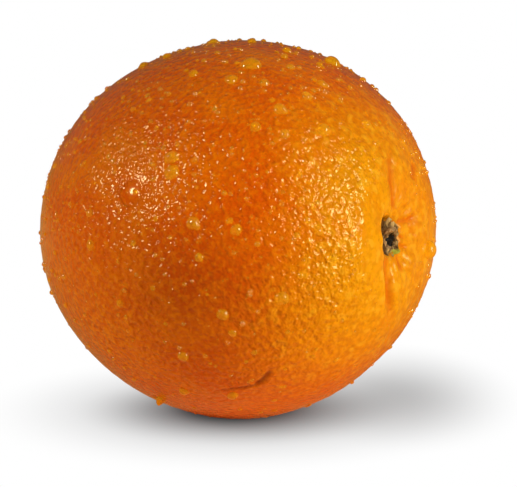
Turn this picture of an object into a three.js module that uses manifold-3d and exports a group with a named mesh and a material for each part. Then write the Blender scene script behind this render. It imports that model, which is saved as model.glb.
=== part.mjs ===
// A ripe orange lying on its side, with the button that stays on it when it is picked: the calyx and the
// broken stub of the stem. Millimetres, +Z up. +X runs along the fruit to its stem end, and the origin lies on
// the surface that the fruit rests on, under the middle of its box.
//
// Places on the skin are given as they are seen from outside the stem end: "clock" is the hour round the
// button, with 12 at the top and 3 towards +Y, and "away" is the arc along the skin from the button's middle.
import * as THREE from "three";
import { mergeVertices } from "three/addons/utils/BufferGeometryUtils.js";
import Module from "manifold-3d";

const wasm = await Module();
wasm.setup();

// The fruit
const LENGTH = 80.4; // stem end to blossom end, before the ends dip in
const WIDTH = 77.4;
const HEIGHT = 75.8; // before it settles on its flat
const STEM_LIFT = THREE.MathUtils.degToRad(6); // how far the stem end is tipped up
const FLAT_DEPTH = 0.9; // how much of the underside its weight presses flat

// The stem end: a basin in the skin, and in it a pit with steep banks and a level seat for the button
const BASIN_DEPTH = 3.1;
const BASIN_REACH = 8.5;
const BASIN_MIDDLE = { clock: 3, away: 3.5 }; // off to one side, which leaves a high lip on the other
const SEAT_RADIUS = 3.9;
const BANK_WIDTH = 1.1;
const PIT_DEPTH = 1; // how far the seat lies below the basin's own bottom

// The blossom end: a shallow dip
const DIP_DEPTH = 0.9;
const DIP_REACH = 6;

// Folds that run out from the button
const FOLDS = [
  { clock: 12.6, reach: 17, depth: 0.35, width: 1.6 },
  { clock: 1.9, reach: 13, depth: 0.4, width: 1.4 },
  { clock: 4, reach: 11, depth: 0.3, width: 1.4 },
  { clock: 6.4, reach: 16, depth: 0.8, width: 1.4 },
  { clock: 10.4, reach: 14, depth: 0.3, width: 2.2 },
];
const FOLD_START = 4; // just inside the rim of the pit

// Broad swellings, and flats where the height is negative. The first one raises the lip beside the pit.
const SWELLS = [
  { clock: 9.2, away: 9, spread: 8, height: 1.3 },
  { clock: 1, away: 42, spread: 26, height: 0.9 },
  { clock: 5.2, away: 42, spread: 22, height: -0.9 },
  { clock: 7, away: 84, spread: 26, height: -1.2 },
];

// The calyx: five blunt lobes fused into a ring round the stub
const LOBES = 5;
const LOBE_TIP_RADIUS = 3.8;
const LOBE_GAP_RADIUS = 3.2;
const CALYX_BORE = 1.95;
const CALYX_THICKNESS = 0.8;
const CALYX_EDGE = 0.3; // how far the rim of the lobes is rounded
const CALYX_RISE = 0.9; // how far the lobes' tips curl up
const SEAT_GAP = 0.3; // clearance between the seat and what stands on it

// The stub of the stem, broken off short, with a pit where its pith has dried out
const STUB_RADIUS = 1.65;
const STUB_HEIGHT = 1.9;
const STUB_SHOULDER = 0.5; // how far below its top the stub begins to round over
const STUB_PIT_RADIUS = 1.1;
const STUB_PIT_FLOOR_RADIUS = 0.6;
const STUB_PIT_DEPTH = 1.1;

// How finely the shapes are divided
const ROUND_SEGMENTS = 72;
const BANK_RINGS = 3;
const RING_SEGMENTS = 40; // from the rim of the pit to the blossom end
const RING_EVENNESS = 0.4; // 1 spaces those rings evenly, and less draws them towards the button
const BUTTON_SEGMENTS = 40;

const stemWay = new THREE.Vector3(Math.cos(STEM_LIFT), 0, Math.sin(STEM_LIFT));
const crownWay = new THREE.Vector3(-Math.sin(STEM_LIFT), 0, Math.cos(STEM_LIFT));
const seatHeight = LENGTH / 2 - BASIN_DEPTH - PIT_DEPTH;

const hourAngle = (clock) => (clock * Math.PI) / 6;
const bell = (x) => Math.exp(-x * x);

// The direction from the middle of the fruit to a place on its skin.
function wayTo({ clock, away }) {
  const polar = away / (LENGTH / 2);
  const round = new THREE.Vector3(0, Math.sin(hourAngle(clock)), 0).addScaledVector(
    crownWay,
    Math.cos(hourAngle(clock)),
  );
  return round.multiplyScalar(Math.sin(polar)).addScaledVector(stemWay, Math.cos(polar));
}

// How deep the folds are at an arc from the button and an angle round it.
function foldDepth(away, angle) {
  let depth = 0;
  for (const { clock, reach, depth: deepest, width } of FOLDS) {
    const turn = angle - hourAngle(clock);
    if (Math.cos(turn) <= 0 || away >= reach) continue;
    const opening = THREE.MathUtils.smoothstep(away, FOLD_START - 1, FOLD_START + 2);
    const fading = 1 - THREE.MathUtils.smoothstep(away, FOLD_START + 2, reach);
    depth += deepest * opening * fading * bell((away * Math.sin(turn)) / width);
  }
  return depth;
}

// The distance from the middle of the fruit to its skin in a direction.
function skinRadius(way) {
  const along = way.dot(stemWay);
  const up = way.dot(crownWay);
  const polar = Math.acos(THREE.MathUtils.clamp(along, -1, 1));
  const away = (polar * LENGTH) / 2;
  const toBasin = (way.angleTo(wayTo(BASIN_MIDDLE)) * LENGTH) / 2;
  const toBlossom = ((Math.PI - polar) * LENGTH) / 2;

  let radius = 0.5 / Math.hypot(along / LENGTH, way.y / WIDTH, up / HEIGHT);
  for (const swell of SWELLS) {
    const apart = (way.angleTo(wayTo(swell)) * LENGTH) / 2;
    radius += swell.height * bell(apart / swell.spread);
  }
  radius -= BASIN_DEPTH * bell(toBasin / BASIN_REACH);
  radius -= DIP_DEPTH * bell(toBlossom / DIP_REACH);
  radius -= foldDepth(away, Math.atan2(way.y, up));

  if (away >= SEAT_RADIUS + BANK_WIDTH) return radius;
  const bank = THREE.MathUtils.smoothstep(away, SEAT_RADIUS, SEAT_RADIUS + BANK_WIDTH);
  return THREE.MathUtils.lerp(seatHeight / along, radius, bank);
}

// A closed manifold-3d solid from a three.js geometry.
function solidFrom(geometry) {
  const bare = geometry.clone().deleteAttribute("normal").deleteAttribute("uv");
  const merged = mergeVertices(bare, 1e-3);
  return new wasm.Manifold(
    new wasm.Mesh({
      numProp: 3,
      vertProperties: merged.attributes.position.array,
      triVerts: new Uint32Array(merged.index.array),
    }),
  );
}

function geometryFrom(solid) {
  const { vertProperties, triVerts } = solid.getMesh();
  const geometry = new THREE.BufferGeometry()
    .setAttribute("position", new THREE.BufferAttribute(vertProperties, 3))
    .setIndex(new THREE.BufferAttribute(triVerts, 1));
  geometry.computeVertexNormals();
  return geometry;
}

// The whole fruit, round all over: rings of points about the stem, closest together near the button.
function roundFruit() {
  const rings = [0, SEAT_RADIUS / 2];
  for (let i = 0; i < BANK_RINGS; i++) rings.push(SEAT_RADIUS + (BANK_WIDTH * i) / BANK_RINGS);
  const rim = SEAT_RADIUS + BANK_WIDTH;
  const blossomEnd = (Math.PI * LENGTH) / 2;
  for (let i = 0; i <= RING_SEGMENTS; i++) {
    const t = i / RING_SEGMENTS;
    rings.push(THREE.MathUtils.lerp(rim, blossomEnd, THREE.MathUtils.lerp(t * t, t, RING_EVENNESS)));
  }
  const outline = rings.map((away) => {
    const polar = (2 * away) / LENGTH;
    return new THREE.Vector2(away === 0 || away === blossomEnd ? 0 : Math.sin(polar), -Math.cos(polar));
  });

  const geometry = new THREE.LatheGeometry(outline, ROUND_SEGMENTS);
  geometry.rotateZ(Math.PI / 2); // the lathe's own axis is Y, and its first point is the stem's
  geometry.rotateY(-STEM_LIFT);
  const position = geometry.attributes.position;
  const way = new THREE.Vector3();
  for (let i = 0; i < position.count; i++) {
    way.fromBufferAttribute(position, i).normalize();
    way.multiplyScalar(skinRadius(way));
    position.setXYZ(i, way.x, way.y, way.z);
  }
  return geometry;
}

// The fruit with the flat that it rests on.
function makeFruit() {
  const whole = roundFruit();
  whole.computeBoundingBox();
  const block = new THREE.BoxGeometry(LENGTH, WIDTH, HEIGHT);
  block.translate(0, 0, whole.boundingBox.min.z + FLAT_DEPTH - HEIGHT / 2);
  const geometry = geometryFrom(solidFrom(whole).subtract(solidFrom(block)));
  const peel = new THREE.MeshStandardMaterial({ color: 0xe07a12, roughness: 0.35, metalness: 0 });
  const fruit = new THREE.Mesh(geometry, peel);
  fruit.name = "fruit";
  return fruit;
}

// The calyx, a thin ring that stands on the seat, with its axis along Y.
function makeCalyx() {
  const outline = [
    new THREE.Vector2(CALYX_BORE, 0),
    new THREE.Vector2(LOBE_TIP_RADIUS - CALYX_EDGE, 0),
    new THREE.Vector2(LOBE_TIP_RADIUS, CALYX_EDGE),
    new THREE.Vector2(LOBE_TIP_RADIUS - CALYX_EDGE, 2 * CALYX_EDGE),
    new THREE.Vector2(CALYX_BORE, CALYX_THICKNESS),
    new THREE.Vector2(CALYX_BORE, 0),
  ];
  const geometry = new THREE.LatheGeometry(outline, BUTTON_SEGMENTS);
  const position = geometry.attributes.position;
  const tipDrop = 1 - LOBE_GAP_RADIUS / LOBE_TIP_RADIUS;
  for (let i = 0; i < position.count; i++) {
    const x = position.getX(i);
    const z = position.getZ(i);
    const out = (Math.hypot(x, z) - CALYX_BORE) / (LOBE_TIP_RADIUS - CALYX_BORE);
    const lobe = 0.5 - 0.5 * Math.cos(LOBES * Math.atan2(z, x));
    const drawn = 1 - tipDrop * lobe * Math.max(out, 0);
    position.setXYZ(i, x * drawn, position.getY(i) + CALYX_RISE * (1 - lobe) * out * out, z * drawn);
  }
  geometry.computeVertexNormals();
  const sepal = new THREE.MeshStandardMaterial({ color: 0x8a8a4a, roughness: 0.8, metalness: 0 });
  const calyx = new THREE.Mesh(geometry, sepal);
  calyx.name = "calyx";
  return calyx;
}

// The stub of the stem, with its axis along Y.
function makeStemStub() {
  const outline = [
    new THREE.Vector2(0, 0),
    new THREE.Vector2(STUB_RADIUS, 0),
    new THREE.Vector2(STUB_RADIUS, STUB_HEIGHT - STUB_SHOULDER),
    new THREE.Vector2((STUB_RADIUS + STUB_PIT_RADIUS) / 2, STUB_HEIGHT),
    new THREE.Vector2(STUB_PIT_RADIUS, STUB_HEIGHT - STUB_SHOULDER / 2),
    new THREE.Vector2(STUB_PIT_FLOOR_RADIUS, STUB_HEIGHT - STUB_PIT_DEPTH),
    new THREE.Vector2(0, STUB_HEIGHT - STUB_PIT_DEPTH),
  ];
  const bark = new THREE.MeshStandardMaterial({ color: 0x6b5a44, roughness: 0.9, metalness: 0 });
  const stub = new THREE.Mesh(new THREE.LatheGeometry(outline, BUTTON_SEGMENTS), bark);
  stub.name = "stem_stub";
  return stub;
}

const orange = new THREE.Group();
const fruit = makeFruit();
orange.add(fruit);

// The button stands on the seat, with its own Y along the stem.
const button = new THREE.Group();
button.quaternion.setFromUnitVectors(new THREE.Vector3(0, 1, 0), stemWay);
button.position.copy(stemWay).multiplyScalar(seatHeight + SEAT_GAP);
button.add(makeCalyx(), makeStemStub());
orange.add(button);

// The origin goes to the surface that the fruit rests on, under the middle of its box.
fruit.geometry.computeBoundingBox();
const { min, max } = fruit.geometry.boundingBox;
orange.position.set(-(min.x + max.x) / 2, -(min.y + max.y) / 2, -min.z);

export default orange;
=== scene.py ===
# %% [markdown]
# # A wet orange and its button
# An orange is a ball of juicy segments in a thick, oily peel. At one end sits the button: the dried calyx,
# and in it the stub where the stem broke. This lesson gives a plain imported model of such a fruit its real
# surface: a pitted peel with folds round the button, a dry calyx, and the water that stands on the fruit
# after a rinse.
#
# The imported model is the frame. Everything here is measured from it, in metres, with +Z up.

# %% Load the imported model
import bpy
import bmesh
import math
import random
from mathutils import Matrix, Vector, noise
from mathutils.bvhtree import BVHTree
from mathutils.kdtree import KDTree


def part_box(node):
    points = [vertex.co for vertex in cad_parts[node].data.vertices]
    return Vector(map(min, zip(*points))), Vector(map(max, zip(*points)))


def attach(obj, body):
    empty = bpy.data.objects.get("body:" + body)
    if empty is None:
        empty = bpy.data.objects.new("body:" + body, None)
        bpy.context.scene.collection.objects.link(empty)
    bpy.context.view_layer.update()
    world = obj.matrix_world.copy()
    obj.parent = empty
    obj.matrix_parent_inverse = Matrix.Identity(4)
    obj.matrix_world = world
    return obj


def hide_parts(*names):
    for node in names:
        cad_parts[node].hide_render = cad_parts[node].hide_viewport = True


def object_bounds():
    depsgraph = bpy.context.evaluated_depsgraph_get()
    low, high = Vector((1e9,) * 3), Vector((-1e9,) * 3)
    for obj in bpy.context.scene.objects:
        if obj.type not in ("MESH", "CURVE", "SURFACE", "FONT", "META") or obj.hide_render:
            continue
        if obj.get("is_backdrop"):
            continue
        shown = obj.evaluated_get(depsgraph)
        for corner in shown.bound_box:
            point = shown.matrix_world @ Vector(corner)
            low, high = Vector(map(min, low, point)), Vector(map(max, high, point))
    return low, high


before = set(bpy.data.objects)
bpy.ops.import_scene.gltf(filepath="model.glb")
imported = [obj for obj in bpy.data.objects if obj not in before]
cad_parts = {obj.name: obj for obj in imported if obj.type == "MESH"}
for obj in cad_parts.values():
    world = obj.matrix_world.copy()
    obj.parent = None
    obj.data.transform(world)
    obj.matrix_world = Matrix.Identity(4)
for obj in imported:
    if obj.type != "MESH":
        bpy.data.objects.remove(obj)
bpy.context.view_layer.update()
scene = bpy.context.scene
MM = 0.001
print("nodes:", sorted(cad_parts))

# %% [markdown]
# ## Finding places on the fruit
# A maker points at a fruit from its button, as on a clock face: this fold runs down from the button at 6
# o'clock, that drop hangs 30 mm away at half past eleven. The clock is seen from outside the stem end, with
# 12 at the top and 3 on the +Y side. Both numbers turn into a direction from the middle of the fruit, and
# so into a place.

# %% Clock and arc
fruit_low, fruit_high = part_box("fruit")
core = (fruit_low + fruit_high) / 2
girth = (fruit_high.x - fruit_low.x) / 2
button_middle = sum(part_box("calyx"), Vector()) / 2
stem_way = (button_middle - core).normalized()
side_way = Vector((0, 1, 0))
side_way = (side_way - stem_way * side_way.dot(stem_way)).normalized()
crown_way = stem_way.cross(side_way)
seat_height = min((vert.co - core).dot(stem_way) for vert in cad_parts["calyx"].data.vertices)


def way_to(clock, away):
    """The direction from the core to the place that lies away millimetres from the button."""
    polar = away * MM / girth
    turn = math.radians(30 * clock)
    around = side_way * math.sin(turn) + crown_way * math.cos(turn)
    return around * math.sin(polar) + stem_way * math.cos(polar)


def arc(way, other):
    """How far apart two directions come out on the skin, in millimetres."""
    return way.angle(other) * girth / MM


def place_of(way):
    """The angle round the clock, in radians, and the arc from the button, in millimetres."""
    return math.atan2(way.dot(side_way), way.dot(crown_way)), arc(way, stem_way)


def on_stem(x, y, z):
    """A point of the button: x towards 3 o'clock, y towards 12 and z out along the stem, in millimetres."""
    return core + side_way * x * MM + crown_way * y * MM + stem_way * (seat_height + z * MM)


print(f"radius {girth / MM:.1f} mm, stem end lifted {math.degrees(math.asin(stem_way.z)):.1f} degrees")


# %% [markdown]
# ## Soft steps and bells
# Nothing on a fruit starts or stops at a line, so every mark fades. A soft step rises from 0 to 1 between
# two values, and a bell is 1 in the middle of a mark and falls to about a third at its stated width.

# %% Soft steps and bells
def smoothstep(low, high, x):
    t = min(max((x - low) / (high - low), 0), 1)
    return t * t * (3 - 2 * t)


def bell(x):
    return math.exp(-x * x)


print(f"a bell at its own width: {bell(1):.2f}")

# %% [markdown]
# ## The camera
# The camera looks down a little on the fruit from beside its stem end, so that the button shows at the
# right. A long lens keeps a small thing from looking bulgy. The aim is a few millimetres beside the core,
# which leaves room for the shadow.

# %% Camera
AZIMUTH, ELEVATION = math.radians(39), math.radians(11)
DISTANCE = 450 * MM
LENS, SENSOR = 156.7, 36
AIM_RIGHT, AIM_DOWN = 4.2 * MM, 3.2 * MM

level = math.cos(ELEVATION)
back = Vector((math.sin(AZIMUTH) * level, -math.cos(AZIMUTH) * level, math.sin(ELEVATION)))
right = Vector((math.cos(AZIMUTH), math.sin(AZIMUTH), 0))
up = back.cross(right)
camera = bpy.data.objects.new("camera", bpy.data.cameras.new("camera"))
scene.collection.objects.link(camera)
camera.data.lens = LENS
camera.data.sensor_width = SENSOR
camera.location = core + right * AIM_RIGHT - up * AIM_DOWN + back * DISTANCE
camera.rotation_euler = back.to_track_quat("Z", "Y").to_euler()
scene.camera = camera
print("camera at", [round(c, 3) for c in camera.location])

# %% [markdown]
# ## The skin's broad shape
# A ball made from a cube has even four-sided faces all over and no poles, so fine relief comes out the same
# everywhere. The grid is drawn together towards the button, where the folds are. Each vertex then goes out
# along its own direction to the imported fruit, and smoothing takes that model's flat facets away.

# %% A ball of squares
CUTS = 127
DRAWN_TO_BUTTON = 0.34


def ball_of_squares(cuts):
    ball = bmesh.new()
    bmesh.ops.create_cube(ball, size=2)
    bmesh.ops.subdivide_edges(ball, edges=ball.edges[:], cuts=cuts, use_grid_fill=True)
    for vert in ball.verts:
        even = Vector([math.tan(c * math.pi / 4) for c in vert.co]).normalized()
        polar = math.acos(min(max(even.x, -1), 1))
        drawn = polar - DRAWN_TO_BUTTON * math.sin(polar)
        across = Vector((0, even.y, even.z))
        across = across.normalized() * math.sin(drawn) if across.length > 1e-9 else across
        vert.co = stem_way * math.cos(drawn) + side_way * across.y + crown_way * across.z
    return ball


def merged_copy(node):
    copy = bmesh.new()
    copy.from_mesh(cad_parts[node].data)
    bmesh.ops.remove_doubles(copy, verts=copy.verts[:], dist=1e-6)
    return copy


skin = ball_of_squares(CUTS)
cad_fruit = merged_copy("fruit")
cad_tree = BVHTree.FromBMesh(cad_fruit)
for vert in skin.verts:
    vert.co = cad_tree.ray_cast(core, vert.co)[0]
cad_fruit.free()
print("skin:", len(skin.verts), "vertices,", len(skin.faces), "squares")

# %% [markdown]
# ## Taking the facets away
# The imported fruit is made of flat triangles, and wet peel would show each of them as a kink in its gloss.
# Rounds of smoothing pull every vertex half way to its neighbours. The pit gets only a few rounds, because
# its banks are steep and have to stay so. Smoothing shrinks a ball a little, so the mean radius is measured
# and given back.

# %% Smooth the facets away
FACET_ROUNDS, BUTTON_ROUNDS = 40, 5
BUTTON_CLEAR = 16 * MM


def smooth(mesh, verts, rounds):
    for _ in range(rounds):
        bmesh.ops.smooth_vert(
            mesh, verts=verts, factor=0.5, use_axis_x=True, use_axis_y=True, use_axis_z=True
        )


def mean_radius(mesh):
    return sum((vert.co - core).length for vert in mesh.verts) / len(mesh.verts)


before = mean_radius(skin)
smooth(skin, [vert for vert in skin.verts if (vert.co - button_middle).length > BUTTON_CLEAR], FACET_ROUNDS)
smooth(skin, skin.verts[:], BUTTON_ROUNDS)
regain = before / mean_radius(skin)
for vert in skin.verts:
    vert.co = core + (vert.co - core) * regain
print(f"smoothing took {before * (1 - 1 / regain) / MM:.3f} mm, given back")

# %% [markdown]
# ## Folds and a scar
# Folds run out from the button, where the fruit swelled round its stem. Low on the near side a branch has
# left a short healed scar. A modeller would draw each one with a brush. Here a fold is a trail of places,
# and a tree of points along the trail tells how far any vertex is from it, so the fold follows the skin
# round every bend.

# %% Trails on the skin
TRAIL_STEPS = 24


class Trail:
    """A line over the skin, pressed in to a depth with soft sides, both in millimetres."""

    def __init__(self, places, depth, width):
        ways = [way_to(clock, away) for clock, away in places]
        self.depth = depth
        self.width = width
        self.last = (len(ways) - 1) * TRAIL_STEPS
        self.tree = KDTree(self.last + 1)
        for step in range(self.last):
            leg, part = divmod(step, TRAIL_STEPS)
            self.tree.insert(ways[leg].slerp(ways[leg + 1], part / TRAIL_STEPS), step)
        self.tree.insert(ways[-1], self.last)
        self.tree.balance()

    def at(self, way):
        """How strongly the trail shows at a direction, and how far off its middle is, in its own widths."""
        _, step, apart = self.tree.find(way)
        share = step / self.last
        taper = smoothstep(0, 0.15, share) * smoothstep(0, 0.3, 1 - share)
        return taper, apart * girth / MM / self.width


FOLDS = [
    Trail([(1.15, 4.8), (0.4, 7.5), (0.2, 10.5), (0.3, 13.5), (0.5, 19)], 0.35, 1.0),
    Trail([(2.2, 4.6), (2.3, 5.8), (2.5, 7.5), (2.55, 9.5), (2.6, 12)], 0.45, 0.6),
    Trail([(3.3, 4.6), (3.5, 7)], 0.2, 0.3),
    Trail([(4.1, 4.8), (3.9, 8)], 0.25, 0.35),
    Trail([(1.5, 13.5), (1.45, 18)], 0.3, 1.2),
    Trail([(7.65, 4.6), (7.0, 6.6), (6.4, 9), (6.25, 11.5), (6.1, 14), (5.8, 18)], 0.6, 1.0),
    Trail([(5.2, 4.8), (5.3, 7), (5.2, 9)], 0.3, 0.7),
]
SCARS = [
    Trail([(7.3, 41.5), (7.3, 40), (7.36, 38), (7.42, 36)], 0.35, 0.6),
    Trail([(7.4, 49), (7.33, 44), (7.28, 41.5), (7.32, 39.5)], 0.2, 0.3),
]
print(len(FOLDS), "folds and", len(SCARS), "scars")

# %% [markdown]
# ## Swells, and a blister of water
# Between the folds the peel bulges, and beside them it sinks. Each swell is a soft bump at its own hour and
# distance, with a spread and a height, and where the height is negative it is a hollow. On the near side a
# thin film of water has drawn itself into a low blister, under which the peel's dimples don't show.

# %% Swells
SWELLS = [  # clock, away, spread, height
    (4.5, 9.3, 1.6, 0.6), (4.8, 6.8, 1.2, -0.4), (5.5, 10.5, 1.2, 0.35), (1.55, 8.8, 1.3, 0.4),
    (1.4, 6.6, 1.1, -0.2), (0.75, 15, 1.8, 0.3), (12, 4.2, 1.0, 0.7), (9, 4.5, 1.1, 0.6),
    (6.6, 4.7, 0.9, 0.3), (3.0, 11.2, 1.8, 0.35), (3.1, 8, 1.2, -0.2), (2.2, 13, 1.6, -0.3),
    (4.0, 13, 1.5, -0.3),
]
swells = [(way_to(clock, away), spread, height) for clock, away, spread, height in SWELLS]
film_way = way_to(9.6, 57)
FILM_RADIUS, FILM_RISE = 2.6, 0.35
print(len(swells), "swells, and a film", 2 * FILM_RADIUS, "mm across")

# %% [markdown]
# ## Relief
# Peel is full of oil glands. Each one shows as a small dimple, and the peel between them stands up as
# pebbles that are coarser on the shoulder round the button. Under them lie slow lumps, and fine wrinkles
# run out from the pit. At the far end the flower has left a dimple with a knob in it. All of this is real
# shape, a few tenths of a millimetre high, so it shows on the fruit's edge too. Only what is finer than the
# mesh is left to the material.

# %% Relief
PEBBLE = 2.1 * MM
LUMP = 11 * MM
GRAIN_HEIGHT = 0.16
WRINKLES, WRINKLE_HEIGHT = 23, 0.12
FOLDS_REACH = 25
RIM_AWAY, RIM_WIDTH, RIM_RISE = 4.1, 0.45, 0.8


def pebbles(place, away):
    """Coarse pebbles with dimples between them: highest on the shoulder, and low on the lip of the pit."""
    near, _ = noise.voronoi(place / PEBBLE)
    shoulder = smoothstep(8, 15, away) * (1 - 0.6 * smoothstep(30, 45, away))
    return GRAIN_HEIGHT * (0.45 - near[0]) * (0.25 + shoulder)


def wrinkles(turn, away):
    """Fine wrinkles that run out from the pit, on its side at 3 o'clock."""
    wave = math.sin(WRINKLES * turn + 3 * math.sin(2 * turn) + 0.4 * away)
    side = smoothstep(-0.4, 0.4, math.sin(turn))
    return WRINKLE_HEIGHT * side * wave * smoothstep(5, 6.5, away) * (1 - smoothstep(8, 12, away))


def flower_end(tip):
    """The mark of the flower, by the arc from its middle: a low ring, a dimple in it and a knob in that."""
    return 0.2 * bell((tip - 3.2) / 1.0) - 0.7 * bell(tip / 1.9) + 0.5 * bell(tip / 0.8)


def relief(way, place):
    """How far the skin stands out at a place, in millimetres, how much painted fold shade lies there, and how
    much scar.
    """
    turn, away = place_of(way)
    height = GRAIN_HEIGHT * noise.noise(place / LUMP) + pebbles(place, away) + wrinkles(turn, away)
    height += RIM_RISE * bell((away - RIM_AWAY) / RIM_WIDTH) * math.cos(turn) ** 2
    height += flower_end(arc(way, -stem_way))
    # how near a fold is, kept as a mask of painted shade for the colour
    fold_shade = 0
    if away < FOLDS_REACH:
        height += sum(rise * bell(arc(way, middle) / spread) for middle, spread, rise in swells)
        for fold in FOLDS:
            taper, widths = fold.at(way)
            fold_shade = max(fold_shade, taper * bell(widths))
            height += fold.depth * taper * (0.25 * bell(widths - 2.2) - bell(widths))
    scar = 0
    for mark in SCARS:
        taper, widths = mark.at(way)
        scar = max(scar, taper * bell(widths))
        height += mark.depth * taper * (0.3 * bell(widths - 2) - bell(widths))
    return height, fold_shade, scar


print("pebbles", PEBBLE / MM, "mm and lumps", LUMP / MM, "mm across")

# %% [markdown]
# ## Where each mark shows
# The peel isn't the same all over. It ripened to gold round the button, and low on the near side it is
# redder and darker, partly its own blush and partly painted shade. The dimples are deep on the shoulder and
# faint on the lip of the pit, and the peel behind the button is less glossy. Painters keep such things in
# masks. Here each mask is a number on every vertex, worked out from the clock and the arc, and the material
# reads it by name. The masks of the folds, the pit and the low near side also hold painted shade.

# %% Masks
GOLD_FROM, GOLD_TO = 9, 38
pale_way, PALE_SPREAD = way_to(8.3, 67), 14
# the blush mask is partly the peel's own colour and partly painted shade low on the near side
blush_shade_way, BLUSH_SHADE_SPREAD = way_to(8.6, 46), 13
SHOULDER_TURN = math.radians(284)


def near_hour(turn, clock, hours):
    """1 at an hour of the clock, and about a third so many hours before or after it."""
    return bell((math.degrees(turn) / 30 % 12 - clock) / hours)


def gold(way, turn, away):
    """How golden the peel is: most round the button, and a touch of it far out at a quarter past eight."""
    edge = GOLD_TO + 12 * near_hour(turn, 7.4, 1.146) - 8 * near_hour(turn, 9.4, 0.764)
    edge += 3 * near_hour(turn, 11.5, 0.955)
    golden = (1 - smoothstep(GOLD_FROM, edge, away)) * (1 - 0.22 * smoothstep(0, 0.8, math.sin(turn)))
    return golden + 0.14 * bell(arc(way, pale_way) / PALE_SPREAD)


def behind_button(turn, away):
    return smoothstep(-0.6, 0.3, math.sin(turn)) * (1 - smoothstep(22, 40, away))


def pitting(turn, away, film):
    """How deep the dimples are: deepest on the shoulder, faint on the lip, and none under the film."""
    shoulder = smoothstep(0.05, 0.95, math.cos(turn - SHOULDER_TURN)) * smoothstep(8, 14, away)
    shoulder *= (1 - smoothstep(65, 85, away)) * (1 + 0.35 * near_hour(turn, 7.667, 0.955))
    smooth_lip = (1 - smoothstep(7, 12, away)) * smoothstep(-0.2, 0.6, -math.sin(turn))
    depth = 0.36 - 0.14 * behind_button(turn, away) + 0.6 * shoulder
    return depth * (1 - 0.8 * smooth_lip) * smoothstep(0.85, 1, film)


def stain_and_shade(way, turn, away):
    """The brown of the pit round the button with painted shade in the pit, and that of the flower's mark."""
    in_pit = 1 - smoothstep(3.4, 5.0 - max(math.cos(turn), 0), away)
    return max(in_pit, 1 - smoothstep(0.7, 1.6, arc(way, -stem_way)))


print("gold fades out", GOLD_TO, "mm from the button")

# %% [markdown]
# ## Shaping the skin
# One walk over the vertices does it all: it writes the masks, and moves each vertex in or out along its own
# direction. The last line keeps the fruit's weight on its flat, because no vertex may sink below the table.

# %% Shape the skin
# The masks of the folds, the pit and the low near side carry painted shade into the colour.
masks = {name: skin.verts.layers.float.new(name) for name in (
    "fold_shade", "scar", "pitted", "soft", "golden", "blush_and_shade", "stain_and_shade")}
for vert in skin.verts:
    way = (vert.co - core).normalized()
    turn, away = place_of(way)
    film = min(arc(way, film_way) / FILM_RADIUS, 1)
    height, vert[masks["fold_shade"]], vert[masks["scar"]] = relief(way, vert.co)
    vert[masks["pitted"]] = pitting(turn, away, film)
    vert[masks["soft"]] = behind_button(turn, away)
    vert[masks["golden"]] = gold(way, turn, away)
    vert[masks["blush_and_shade"]] = bell(arc(way, blush_shade_way) / BLUSH_SHADE_SPREAD)
    vert[masks["stain_and_shade"]] = stain_and_shade(way, turn, away)
    vert.co += way * (height * smoothstep(0.7, 1, film) + FILM_RISE * (1 - film * film)) * MM
    vert.co.z = max(vert.co.z, 0)
print("masks:", ", ".join(masks))

# %% [markdown]
# ## Helpers for materials
# A material is a net of small nodes, and most of what it needs is the same few: a noise, a mask from the
# mesh, a soft step between two values, a mix of two colours. Each gets a short helper in the cell that
# needs it first. Colours are written as a painter would pick them, as RRGGBB, and turned into the linear
# values that a shader works with.

# %% Colours and nodes
def linear(hex_colour):
    """A colour written as RRGGBB, as the linear values that a shader takes, with alpha."""
    parts = [int(hex_colour[i : i + 2], 16) / 255 for i in (0, 2, 4)]
    return (*[p / 12.92 if p <= 0.04045 else ((p + 0.055) / 1.055) ** 2.4 for p in parts], 1)


def new_material(name):
    material = bpy.data.materials.new(name)
    material.use_nodes = True
    return material, material.node_tree, material.node_tree.nodes["Principled BSDF"]


def add(tree, kind, inputs=None, **settings):
    """A node with its settings and its inputs: a value, or the socket that feeds it."""
    node = tree.nodes.new(kind)
    for key, value in settings.items():
        setattr(node, key, value)
    for key, value in (inputs or {}).items():
        if isinstance(value, bpy.types.NodeSocket):
            tree.links.new(value, node.inputs[key])
        else:
            node.inputs[key].default_value = value
    return node


print("the gold of ripe peel in linear values:", [round(c, 3) for c in linear("f6a900")])

# %% [markdown]
# ## The peel's grain
# Five patterns lie in orange peel: the oil glands, about a millimetre apart, darker pores at twice that
# distance, a fine swirl in the wax on top, a mottle just as fine in the skin, and broad uneven patches.
# Cells make the glands and the pores, and noise makes the rest. One more noise bends the cells, because
# glands never stand in neat rows, and the colour uses it again for pale spots. All of them read the same
# Object coordinates, so they stay fixed to the fruit.

# %% Peel grain
GLAND_SCALE, PORE_SCALE = 860, 480
SWIRL_SCALE, MOTTLE_SCALE = 1000, 820
WANDER_SCALE, PATCH_SCALE = 500, 75
BEND = 1.2 * MM


def object_place(tree):
    return add(tree, "ShaderNodeTexCoord").outputs["Object"]


def clouds(tree, place, scale, detail):
    """Soft noise with spots of about 1 / scale metres."""
    return add(tree, "ShaderNodeTexNoise", {"Vector": place, "Scale": scale, "Detail": detail}).outputs


peel, tree, shader = new_material("peel")
place = object_place(tree)
wander = clouds(tree, place, WANDER_SCALE, 1)
bend = {0: wander["Color"], 1: (BEND, BEND, BEND), 2: place}
bent = add(tree, "ShaderNodeVectorMath", bend, operation="MULTIPLY_ADD").outputs["Vector"]
cells = {"Vector": bent, "Scale": GLAND_SCALE, "Smoothness": 0.4}
glands = add(tree, "ShaderNodeTexVoronoi", cells, feature="SMOOTH_F1").outputs["Distance"]
pores = add(tree, "ShaderNodeTexVoronoi", {"Vector": bent, "Scale": PORE_SCALE}).outputs["Distance"]
swirl = clouds(tree, place, SWIRL_SCALE, 1)["Fac"]
mottle = clouds(tree, place, MOTTLE_SCALE, 3)["Fac"]
patches = clouds(tree, place, PATCH_SCALE, 3)["Fac"]
print("peel grain:", len(tree.nodes), "nodes")
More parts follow.
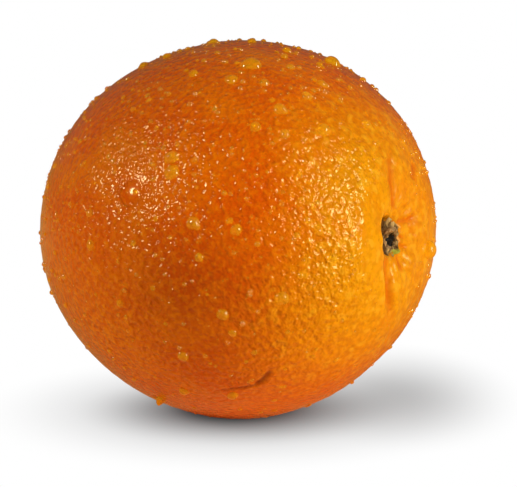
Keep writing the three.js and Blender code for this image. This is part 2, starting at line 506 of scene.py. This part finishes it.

# %% [markdown]
# ## The peel's colour
# The colour is laid on as a painter glazes: orange that turns to gold at the button, the red blush that is
# partly painted shade, then thin layers of darker and lighter orange through the grain, and last the marks of
# the scar, of painted shade in the folds, and of the pit's brown with painted shade in it.
# Each layer is a mask and a colour. The light flecks and pale spots show most where the peel is golden.

# %% Peel colour
def mask(tree, name):
    return add(tree, "ShaderNodeAttribute", attribute_name=name).outputs["Fac"]


def math_node(tree, operation, a, b=0.0, c=0.0):
    return add(tree, "ShaderNodeMath", {0: a, 1: b, 2: c}, operation=operation).outputs[0]


def span(tree, value, low, high, to_low=0.0, to_high=1.0):
    """A soft step: to_low where the value is low, to_high where it is high."""
    inputs = {"Value": value, "From Min": low, "From Max": high, "To Min": to_low, "To Max": to_high}
    return add(tree, "ShaderNodeMapRange", inputs, interpolation_type="SMOOTHSTEP").outputs["Result"]


def mix(tree, factor, a, b):
    return add(tree, "ShaderNodeMix", {0: factor, 6: a, 7: b}, data_type="RGBA").outputs[2]


golden = mask(tree, "golden")
fleck_share = math_node(tree, "MULTIPLY_ADD", golden, 0.5, 0.15)
glazes = [
    # painted shade, with some of the peel's own blush: redder and darker low on the near side
    (math_node(tree, "MULTIPLY", mask(tree, "blush_and_shade"), 0.85), "b84200"),
    (span(tree, mottle, 0.35, 0.6, 0.25, 0.0), "c04c00"),
    (math_node(tree, "MULTIPLY", span(tree, mottle, 0.48, 0.68), fleck_share), "ffa808"),
    (span(tree, patches, 0.45, 0.7, 0.0, 0.5), "ec8000"),
    (math_node(tree, "MULTIPLY", span(tree, wander["Fac"], 0.54, 0.68, 0.0, 0.8), golden), "ffb820"),
    (span(tree, swirl, 0.45, 0.75, 0.0, 0.25), "ff9600"),
    (span(tree, glands, 0.05, 0.35, 0.2, 0.0), "b84400"),
    (span(tree, pores, 0.08, 0.22, 0.18, 0.0), "b04000"),
    # painted shade in the folds: darker and redder along their grooves
    (math_node(tree, "MULTIPLY", mask(tree, "fold_shade"), 0.65), "d85800"),
    (math_node(tree, "MULTIPLY", mask(tree, "scar"), 0.85), "8c300c"),
    # the pit's brown with painted shade in the pit, and the brown of the flower's mark
    (math_node(tree, "MULTIPLY", mask(tree, "stain_and_shade"), 0.75), "8c5404"),
]
base = mix(tree, golden, linear("e65e00"), linear("f6a900"))
for glaze, colour in glazes:
    base = mix(tree, glaze, base, linear(colour))
tree.links.new(base, shader.inputs["Base Color"])
print("peel colour:", len(glazes), "glazes")

# %% [markdown]
# ## The peel's gloss
# A rinsed orange glints from thousands of tiny slopes. The glands and the swirl are finer than the mesh, so
# a bump bends the light there instead, as deep as the mask of pitting says. The wax is smooth, so its
# roughness is low, and a little higher behind the button. Light goes a short way into peel and comes out
# orange, which is what subsurface scattering does. The warm tint of the gloss is the oil's.

# %% Peel gloss
BUMP_DISTANCE = 0.36
GLAND_DEPTH, SWIRL_DEPTH = 0.9, 1.25
GLOSSIEST, DULLEST, BEHIND_DULLER = 0.11, 0.16, 0.18


def bumpy(tree, height, strength, distance):
    """The normal of a surface that a height presses in and out, by up to that distance in millimetres."""
    inputs = {"Height": height, "Strength": strength, "Distance": distance * MM}
    return add(tree, "ShaderNodeBump", inputs).outputs["Normal"]


pits = math_node(tree, "MULTIPLY", glands, GLAND_DEPTH)
pits = math_node(tree, "ADD", pits, math_node(tree, "MULTIPLY", swirl, SWIRL_DEPTH))
pits = math_node(tree, "MULTIPLY", pits, mask(tree, "pitted"))
tree.links.new(bumpy(tree, pits, 1.0, BUMP_DISTANCE), shader.inputs["Normal"])
wax = span(tree, patches, 0.3, 0.7, GLOSSIEST, DULLEST)
wax = math_node(tree, "MULTIPLY_ADD", mask(tree, "soft"), BEHIND_DULLER, wax)
tree.links.new(wax, shader.inputs["Roughness"])
shader.inputs["Subsurface Weight"].default_value = 0.1
shader.inputs["Subsurface Radius"].default_value = (1, 0.4, 0.1)
shader.inputs["Subsurface Scale"].default_value = 1.5 * MM
shader.inputs["IOR"].default_value = 1.48
shader.inputs["Specular Tint"].default_value = (1, 0.88, 0.4, 1)
print("peel:", len(tree.nodes), "nodes in all")


# %% [markdown]
# ## From a mesh to a piece
# A bmesh is a workshop: it becomes a thing in the scene once it is written to a mesh, and the mesh to an
# object. Every piece here sits at the origin with its place in its mesh, so that a pattern on Object
# coordinates fits the fruit.

# %% The skin becomes a piece
def piece_from(mesh, name, material):
    """A finished piece at the origin, with smooth shading."""
    data = bpy.data.meshes.new(name)
    for face in mesh.faces:
        face.smooth = True
    mesh.to_mesh(data)
    piece = bpy.data.objects.new(name, data)
    scene.collection.objects.link(piece)
    data.materials.append(material)
    print(name, "has", len(data.polygons), "faces")
    return piece


skin_piece = piece_from(skin, "peel_skin", peel)
skin_tree = BVHTree.FromBMesh(skin)
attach(skin_piece, "root")
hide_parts("fruit")


# %% [markdown]
# ## Water
# Water stands on waxy peel in drops, because the wax holds it off. A drop is clear, but on an orange it
# gathers light onto the peel under it and looks like amber. Glass and a bent ray would do it, but bright
# spots of light that passed through hundreds of drops need very many samples. So the water is part clear
# and part amber, and the amber is painted light that stands in for the gathered light. The lamps' light
# goes straight through it to the skin. The fine beads are clearer and glossier than the large drops.

# %% Water
def new_water(name, clearness, sheen):
    """Water that tints what it stands on, and that lets the lamps' light through to the skin."""
    material, tree, shader = new_material(name)
    # painted light: the amber body stands in for the light a drop gathers onto the peel
    shader.inputs["Base Color"].default_value = (1, 0.66, 0.006, 1)
    shader.inputs["Roughness"].default_value = 0.02
    shader.inputs["IOR"].default_value = 1.33
    shader.inputs["Transmission Weight"].default_value = clearness
    shader.inputs["Coat Weight"].default_value = sheen
    clear = add(tree, "ShaderNodeBsdfTransparent")
    ray = add(tree, "ShaderNodeLightPath").outputs
    lighting = math_node(tree, "MAXIMUM", ray["Is Shadow Ray"], ray["Is Diffuse Ray"])
    both = add(tree, "ShaderNodeMixShader", {0: lighting, 1: shader.outputs[0], 2: clear.outputs[0]})
    tree.links.new(both.outputs[0], tree.nodes["Material Output"].inputs["Surface"])
    print(name, "clear to", clearness)
    return material


drop_water = new_water("water_drops", 0.74, 0.3)
bead_water = new_water("water_beads", 0.82, 1)


# %% [markdown]
# ## Setting drops on the skin
# A drop is the top of a flattened ball, sunk a little so that its edge meets the skin. It stands out along
# the skin's own normal, and its outline wobbles from round, because it sticks to the pits in the peel. The
# ball has few faces for the beads, which are set by the hundred, and more for the large drops.

# %% Drops on the skin
ROUNDNESS, SUNK = 3.2, 0.6


def ball(around, rings):
    """A ball one unit across, which set_drop flattens and sinks in the skin."""
    shape = bmesh.new()
    bmesh.ops.create_uvsphere(shape, u_segments=around, v_segments=rings, radius=0.5)
    return shape


def set_drop(mesh, shape, clock, away, width, tall=0.32, wobble=0.3):
    """Adds a drop of that width in millimetres, standing out from the skin by tall times its width."""
    spot, normal, _, _ = skin_tree.ray_cast(core, way_to(clock, away))
    stand = normal.to_track_quat("Z", "Y").to_matrix()
    seed = Vector((clock, away, width)) * 3
    drop = shape.copy()
    for vert in drop.verts:
        x, y, z = vert.co
        reach = 1 + wobble * noise.noise(Vector((x, y, 0)) * 2 + seed)
        local = Vector((x * reach, y * reach, (ROUNDNESS * z - SUNK) * tall))
        vert.co = spot + stand @ local * width * MM
    scratch = bpy.data.meshes.new("scratch")
    drop.to_mesh(scratch)
    drop.free()
    mesh.from_mesh(scratch)
    bpy.data.meshes.remove(scratch)


large, small = ball(40, 24), ball(10, 5)
print("faces of a large drop:", len(large.faces), "and of a bead:", len(small.faces))

# %% [markdown]
# ## The large drops
# The drops that catch the eye have their own places, by clock, distance and width. Two are set apart. One
# sits beside the button, where its round back breaks the outline, and one hangs under the belly and stands
# out further than the rest, as it gathers to fall.

# %% Large drops
DROPS = [  # clock, away, width
    (11.45, 47, 4.1), (11.1, 47, 2.6), (11.25, 41, 2.2), (11.75, 41, 2.0), (11.9, 45, 1.8),
    (0.1, 47.5, 2.2), (0.1, 57, 2.2), (0.2, 40, 1.6), (0.55, 42, 3.6), (11.85, 34, 2.0),
    (11.45, 33, 2.3), (11.0, 34.5, 3.1), (10.6, 36.5, 2.6), (11.15, 25.5, 3.0), (0.05, 22.5, 2.3),
    (10.7, 31, 2.2), (11.05, 55.5, 2.2), (9.35, 19.5, 2.2), (10.0, 50, 3.0), (9.85, 49, 3.2),
    (9.35, 43, 2.8), (9.3, 35, 2.4), (9.0, 42, 1.9), (9.1, 66.5, 2.2), (9.4, 67, 2.0),
    (8.55, 60.5, 1.8), (7.95, 50.5, 2.4), (7.45, 56, 2.2), (7.25, 47, 2.4), (8.1, 39, 1.8),
    (8.35, 39.5, 2.4), (8.35, 28, 3.0), (8.8, 17, 2.0), (8.65, 13.5, 1.6), (8.6, 23.5, 1.6),
    (11.35, 75, 2.2), (11.45, 69.5, 2.0), (11.65, 67, 1.4), (11.95, 65, 2.4), (0.95, 38.5, 1.6),
]
drops = bmesh.new()
for clock, away, width in DROPS:
    set_drop(drops, large, clock, away, width)
set_drop(drops, large, 3.66, 15.9, 4.2, tall=0.33)
set_drop(drops, large, 7.2, 66, 2.2, tall=0.7)
print(len(DROPS) + 2, "large drops")

# %% [markdown]
# ## Beads and droplets
# Between the large drops the peel is covered with beads, most of them under a millimetre. They fall where
# the rinse came down: many on top and on the near side, few underneath, and none in the pit. Each try takes
# a random direction and keeps it as often as that place is wet. The flat droplets are beads that have begun
# to spread.

# %% Beads and droplets
random.seed(7)
BEADS, DROPLETS = 1500, 200
BEADS_CLEAR = 12
wet_way, WET_SPREAD = way_to(9, 30), 0.5

beads = bmesh.new()
count = 0
while count < BEADS:
    way = Vector([random.gauss(0, 1) for _ in range(3)]).normalized()
    wetness = smoothstep(-0.9, 0.7, way.z) * (0.5 + 0.5 * bell(way.angle(wet_way) / WET_SPREAD))
    if random.random() > wetness:
        continue
    turn, away = place_of(way)
    if away < BEADS_CLEAR:
        continue
    width = 0.4 + 1.0 * random.random() ** 3
    set_drop(beads, small, math.degrees(turn) / 30, away, width, tall=0.38)
    count += 1
for _ in range(DROPLETS):
    clock, away = random.uniform(0, 12), random.uniform(20, 85)
    set_drop(drops, small, clock, away, random.uniform(0.6, 1.5), tall=0.2)
for mesh, name, water in ((drops, "water_drops", drop_water), (beads, "water_beads", bead_water)):
    piece = piece_from(mesh, name, water)
    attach(piece, "root")


# %% [markdown]
# ## The button
# The button is what the tree left behind. Five sepals, fused into a ring, lie dry and torn in the pit, and
# the broken stem stands in the middle of them. Both are bodies of revolution before the weather gets at
# them, so each starts as an outline that is spun about the stem. Then uneven growth pulls them out of
# round.

# %% Spinning and growing
def spun(outline, steps, bore=0):
    """A closed ring or plug: an outline of (radius, height) points, spun about the stem outside a bore."""
    shape = bmesh.new()
    verts = [shape.verts.new((bore + radius, 0, height)) for radius, height in outline]
    edges = [shape.edges.new(pair) for pair in zip(verts, verts[1:])]
    bmesh.ops.spin(
        shape, geom=verts + edges, cent=(0, 0, 0), axis=(0, 0, 1), angle=math.tau, steps=steps, use_merge=True
    )
    bmesh.ops.remove_doubles(shape, verts=shape.verts[:], dist=1e-5)
    bmesh.ops.recalc_face_normals(shape, faces=shape.faces[:])
    return shape


def grown(x, y, seed, size=1.0):
    """Uneven growth, about -1 to 1, in lumps of about that many millimetres."""
    return 2 * noise.noise(Vector((x, y, 0)) / size + Vector((seed, seed, seed)))


def clock_gap(a, b):
    return abs((a - b + 6) % 12 - 6)


def unit(value):
    return min(max(value, 0), 1)


print("from 11 to 1 o'clock:", clock_gap(11, 1), "hours")

# %% [markdown]
# ## The calyx
# The outline is the section of a thin curled leaf. It is spun outside a wide bore, and the extra width is
# taken out again when each point finds its place between the stem and the tip of the nearest sepal. Clefts
# part the sepals, and strands and crumples show that they dried. Two masks go with them: the last green,
# and how light the tissue is, which is paler towards 12 o'clock and holds painted shade on the side towards
# 9 o'clock, under the lip of the pit.

# %% Calyx
SEPALS = [(2.2, 3.2), (4.8, 4.3), (7.0, 3.9), (9.4, 3.3), (11.8, 3.0)]  # clock and reach
SEPAL_SECTION = [
    (0, 0.3), (0.03, 0.8), (0.2, 1.0), (0.35, 0.95), (0.5, 0.9), (0.65, 0.95), (0.8, 1.05), (0.95, 1.2),
    (1, 1.1), (0.9, 0.8), (0.7, 0.5), (0.4, 0.2), (0.2, 0.05), (0.02, 0.05), (0, 0.3),
]
SPIN_BORE = 10
CALYX_BORE = 1.95
OFF_RIGHT, OFF_DOWN = 0.9, 0.7
GREEN_CLOCK = 5.2


def between_sepals(hours):
    """How far the calyx reaches at an hour, and how near that is to a cleft, 0 to 1."""
    nearest = sorted(SEPALS, key=lambda sepal: clock_gap(hours, sepal[0]))[:2]
    gaps = [clock_gap(hours, sepal[0]) for sepal in nearest]
    share = gaps[0] / sum(gaps)
    return nearest[0][1] * (1 - share) + nearest[1][1] * share, smoothstep(0.36, 0.5, share)


calyx = spun(SEPAL_SECTION, 180, SPIN_BORE)
green_layer = calyx.verts.layers.float.new("green")
pale_and_shade_layer = calyx.verts.layers.float.new("light")
for vert in calyx.verts:
    x, y, z = vert.co
    turn = math.atan2(x, y)
    out = math.hypot(x, y) - SPIN_BORE
    hours = math.degrees(turn) / 30 % 12
    around = Vector((math.sin(turn), math.cos(turn)))
    reach, cleft = between_sepals(hours)
    reach *= 1 - 0.16 * cleft + 0.07 * grown(around.x, around.y, 4, 0.35)
    flat = Vector((OFF_RIGHT, -OFF_DOWN)) * (1 - out) + around * (CALYX_BORE + (reach - CALYX_BORE) * out)
    strand = grown(around.x * 9, around.y * 9, 5)
    strand += 0.7 * grown(around.x * 4 + flat.x, around.y * 4 + flat.y, 2, 0.8)
    crumple = grown(flat.x, flat.y, 9, 1.1)
    lift = 0.3 * grown(flat.x, flat.y, 3, 2.2) * out - 0.3 * cleft * out
    lift += (0.1 * strand + 0.12 * crumple) * smoothstep(0.3, 0.8, z)
    lift += 0.6 * smoothstep(3.6, 4.5, flat.length)
    vert.co = on_stem(flat.x, flat.y, max(z + lift, 0.03))
    green = 1 - smoothstep(0.25, 0.5, clock_gap(hours, GREEN_CLOCK) + 0.3 * grown(flat.x, flat.y, 6, 0.8))
    vert[green_layer] = green * smoothstep(0.25, 0.55, out)
    # paler towards 12 o'clock, and painted shade on the side towards 9 o'clock, under the lip of the pit
    bright = 0.45 + 0.25 * smoothstep(0, 2, flat.y)
    vert[pale_and_shade_layer] = unit((bright + 0.35 * strand + 0.4 * crumple) * smoothstep(-1.0, 0.2, flat.x))
print("calyx reaches", max(reach for _, reach in SEPALS), "mm from the stem")

# %% [markdown]
# ## The stub
# A picked orange tears from its stem, and what stays is a splintered plug with a hollow where the pith came
# out, and the hollow's dark is painted shade. It sits a little off the middle of the pit. Its top is highest
# towards 12 o'clock and broken down towards 9. The top is spun in fine rings, so that there are enough
# vertices to splinter.

# %% Stub
STUB_RADIUS, STUB_HEIGHT, TOP_RINGS = 2.0, 1.25, 18
HOLLOW_RIGHT, HOLLOW_DOWN = 0.55, 0.45

stub_side = [(0, -0.2), (1.2, -0.2), (1.8, 0), (1.95, 0.5), (2.0, 1.0)]
stub_top = [(STUB_RADIUS * (1 - ring / TOP_RINGS), STUB_HEIGHT) for ring in range(TOP_RINGS + 1)]
stub = spun(stub_side + stub_top, 108)
hollow_shade_layer = stub.verts.layers.float.new("hollow")
pale_and_shade_layer = stub.verts.layers.float.new("light")
for vert in stub.verts:
    x, y, z = vert.co
    top = smoothstep(0.9, STUB_HEIGHT, z)
    rim = 0.9 * smoothstep(0.2, 1.6, y) - 0.5 * smoothstep(0, 1.5, -x) - 0.3
    strand = grown(x, y * 0.4, 3, 0.4)
    from_hollow = math.hypot(x - HOLLOW_RIGHT, y + HOLLOW_DOWN)
    hollow = 1 - smoothstep(1.2, 1.6, from_hollow + 0.2 * grown(x, y, 7, 0.8))
    splinters = (0.25 * strand + 0.15 * grown(x, y, 1, 0.25)) * (1 - 0.7 * hollow)
    height = max(z + top * (rim + splinters - 0.55 * hollow), -0.1) + 0.02
    side = 1 + 0.05 * grown(x, y, z * 0.3, 0.8)
    vert.co = on_stem(x * side + OFF_RIGHT, y * side - OFF_DOWN, height)
    vert[hollow_shade_layer] = hollow * top
    vert[pale_and_shade_layer] = unit(0.6 + 0.6 * strand)
print("stub:", len(stub.verts), "vertices")

# %% [markdown]
# ## Dry tissue
# The sepals and the stem dried alike: dark where they shrank, pale along the raised strands, with brown
# blotches and a fine rough grain. On the calyx the mask of paleness also holds painted shade. What both
# materials share is built once, as a group of nodes with named sockets, and each material places it with
# its own colours and scale.

# %% Dry tissue group
TISSUE_INPUTS = {
    "Scale": "Float", "Dark": "Color", "Pale": "Color",
    "Blotch": "Color", "Blotch Share": "Float", "Rough": "Float",
}
TISSUE_OUTPUTS = {"Color": "Color", "Mottle": "Float", "Normal": "Vector"}
TISSUE_GRAIN = 0.2

tissue = bpy.data.node_groups.new("dry_tissue", "ShaderNodeTree")
for label, kind in TISSUE_INPUTS.items():
    tissue.interface.new_socket(label, in_out="INPUT", socket_type="NodeSocket" + kind)
for label, kind in TISSUE_OUTPUTS.items():
    tissue.interface.new_socket(label, in_out="OUTPUT", socket_type="NodeSocket" + kind)
given = tissue.nodes.new("NodeGroupInput").outputs
result = tissue.nodes.new("NodeGroupOutput").inputs
mottle = clouds(tissue, object_place(tissue), given["Scale"], 3)["Fac"]
# dark to pale by the mask, which on the calyx also holds painted shade
base = mix(tissue, mask(tissue, "light"), given["Dark"], given["Pale"])
base = mix(tissue, span(tissue, mottle, 0.4, 0.65, 0.0, given["Blotch Share"]), base, given["Blotch"])
tissue.links.new(base, result["Color"])
tissue.links.new(mottle, result["Mottle"])
tissue.links.new(bumpy(tissue, mottle, given["Rough"], TISSUE_GRAIN), result["Normal"])
print("dry tissue:", len(tissue.nodes), "nodes")


# %% [markdown]
# ## The button's finishes
# The sepals keep a patch of green at about 5 o'clock. The stub is paler along its torn strands, and its
# hollow is painted nearly black, as painted shade. Dry plant matter has hardly any gloss, so the specular
# level is low.

# %% Button finishes
def dry_tissue(tree, scale, dark, pale, blotch, blotch_share, rough):
    values = {"Scale": scale, "Dark": linear(dark), "Pale": linear(pale), "Blotch": linear(blotch)}
    values.update({"Blotch Share": blotch_share, "Rough": rough})
    return add(tree, "ShaderNodeGroup", values, node_tree=tissue).outputs


dry, tree, shader = new_material("dry_sepals")
dried = dry_tissue(tree, 900, "46290a", "dab878", "7c5824", 0.3, 0.7)
tree.links.new(mix(tree, mask(tree, "green"), dried["Color"], linear("b4b43c")), shader.inputs["Base Color"])
tree.links.new(span(tree, dried["Mottle"], 0.3, 0.7, 0.45, 0.75), shader.inputs["Roughness"])
tree.links.new(dried["Normal"], shader.inputs["Normal"])
shader.inputs["Specular IOR Level"].default_value = 0.2

wood, tree, shader = new_material("broken_stem")
dried = dry_tissue(tree, 1300, "4a2c12", "d8b07c", "80603a", 0.5, 0.8)
# painted shade: the hollow is mixed to nearly black
tree.links.new(mix(tree, mask(tree, "hollow"), dried["Color"], linear("120b06")), shader.inputs["Base Color"])
tree.links.new(dried["Normal"], shader.inputs["Normal"])
shader.inputs["Roughness"].default_value = 0.4
shader.inputs["Specular IOR Level"].default_value = 0.12

for mesh, name, node, finish, slot in (
    (calyx, "calyx_dried", "calyx", dry, "calyx"),
    (stub, "stem_broken", "stem_stub", wood, "stem"),
):
    piece = piece_from(mesh, name, finish)
    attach(piece, "root")
    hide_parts(node)


# %% [markdown]
# ## The floor
# The fruit stands on a white sheet. A sheet that is lit to pure white needs so much light that the fruit
# would burn out, so the sheet glows by itself for the camera, and the glow fades where the fruit takes the
# light away. The soft shadow is drawn with two ovals on the floor, one under the fruit and one that trails
# off behind it to the right, and the dark middle is lit by the lamps as any grey surface is. For all other
# rays the floor is a warm board, which sends orange light up to the belly.

# %% Floor
FLOOR_RADIUS = 3
FLOOR_SHADE = (0.1, 0.112, 0.12, 1)
FLOOR_BOUNCE = (1, 0.72, 0.25, 1)
BLACK = (0, 0, 0, 1)


def floor_place(to_right, behind):
    """A place on the floor, in millimetres from under the core as the camera sees it."""
    toward_camera = Vector((back.x, back.y, 0)).normalized()
    return right * to_right * MM - toward_camera * behind * MM


def oval(tree, ground, middle, wide, deep):
    """How far out a place is in an oval on the floor, 1 at its edge; half sizes in millimetres."""
    inputs = {"Vector": ground, "Location": middle, "Rotation": (0, 0, AZIMUTH)}
    inputs["Scale"] = (wide * MM, deep * MM, 1)
    local = add(tree, "ShaderNodeMapping", inputs, vector_type="TEXTURE").outputs["Vector"]
    return add(tree, "ShaderNodeVectorMath", {0: local}, operation="LENGTH").outputs["Value"]


floor_mesh = bmesh.new()
bmesh.ops.create_circle(floor_mesh, cap_ends=True, segments=64, radius=FLOOR_RADIUS)
floor_material, tree, shader = new_material("floor")
ground = object_place(tree)
under = oval(tree, ground, floor_place(0, 0), wide=43, deep=37)
trail = oval(tree, ground, floor_place(34, 12), wide=27, deep=47)
dark_heart = span(tree, under, 0.12, 0.8, 0, 0.5)
soft_edge = span(tree, under, 0.07, 1.27, 0, 0.5)
open_floor = math_node(tree, "ADD", dark_heart, soft_edge)
open_floor = math_node(tree, "MULTIPLY", open_floor, span(tree, trail, 0, 1, 0.57, 1.0))
ray = add(tree, "ShaderNodeLightPath").outputs
seen = math_node(tree, "MAXIMUM", ray["Is Camera Ray"], ray["Is Transmission Ray"])
glow = math_node(tree, "MULTIPLY", open_floor, seen)
tint = mix(tree, glow, FLOOR_SHADE, BLACK)
tree.links.new(mix(tree, seen, FLOOR_BOUNCE, tint), shader.inputs["Base Color"])
tree.links.new(glow, shader.inputs["Emission Color"])
shader.inputs["Emission Strength"].default_value = 1
shader.inputs["Roughness"].default_value = 1
shader.inputs["Specular IOR Level"].default_value = 0
floor = piece_from(floor_mesh, "floor", floor_material)
floor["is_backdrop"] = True

# %% [markdown]
# ## The world
# Behind the sheet the camera sees plain white, and so do rays that pass through the water. The light that
# the world gives is dim and warm, as in a dark studio with a wooden floor, because an even white surround
# fills the pits and hides the pebbles. Reflections get only a small share of the white. At their full share
# they lay a milky sheen over the edges of the fruit.

# %% World
DIM_ROOM = (0.075, 0.055, 0.025, 1)
WHITE_IN_GLOSS = 0.06

world = bpy.data.worlds.new("studio")
scene.world = world
world.use_nodes = True
tree = world.node_tree
room = tree.nodes["Background"]
room.inputs["Color"].default_value = DIM_ROOM
white = add(tree, "ShaderNodeBackground", {"Color": (1, 1, 1, 1), "Strength": 1})
ray = add(tree, "ShaderNodeLightPath").outputs
seen = math_node(tree, "MAXIMUM", ray["Is Camera Ray"], ray["Is Transmission Ray"])
seen = math_node(tree, "MULTIPLY_ADD", ray["Is Glossy Ray"], WHITE_IN_GLOSS, seen)
choose = add(tree, "ShaderNodeMixShader", {0: seen, 1: room.outputs[0], 2: white.outputs[0]})
tree.links.new(choose.outputs[0], tree.nodes["World Output"].inputs["Surface"])
print("share of white in reflections:", WHITE_IN_GLOSS)


# %% [markdown]
# ## The lamps
# Two soft boxes stand a metre from the fruit. The small one at the upper left makes the cluster of glints
# there. The tall narrow one at the right lights the shoulder and the stem end, and is a little warmer.
# Their sizes set how sharp the glints are, and the gap between them leaves the darker band down the middle.

# %% Lamps
LAMP_DISTANCE = 1.0


def softbox(name, way, wide, tall, watts, colour=(1, 1, 1)):
    lamp = bpy.data.lights.new(name, "AREA")
    lamp.shape = "ELLIPSE"
    lamp.size = wide
    lamp.size_y = tall
    lamp.energy = watts
    lamp.color = colour
    box = bpy.data.objects.new(name, lamp)
    scene.collection.objects.link(box)
    box.location = core + way.normalized() * LAMP_DISTANCE
    box.rotation_euler = way.to_track_quat("Z", "Y").to_euler()
    print(name, watts, "W")


left_way = right * -0.82 + up * 0.46 + back * 0.47
right_way = right * 0.85 + up * 0.16 + back * 0.48
softbox("left_softbox", left_way, wide=0.25, tall=0.25, watts=4.8)
softbox("right_softbox", right_way, wide=0.2, tall=0.9, watts=9.3, colour=(1, 0.95, 0.85))

# %% [markdown]
# ## Colour as written
# Filmic views bend colours to keep highlights. The Standard view shows each colour about as it is written
# above, which is what peel of a known orange needs.

# %% Colour as written
scene.view_settings.view_transform = "Standard"
print("view:", scene.view_settings.view_transform)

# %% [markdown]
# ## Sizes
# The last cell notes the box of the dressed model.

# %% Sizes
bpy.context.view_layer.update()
low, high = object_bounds()
print("dressed size:", [round(side / MM, 1) for side in high - low], "mm")
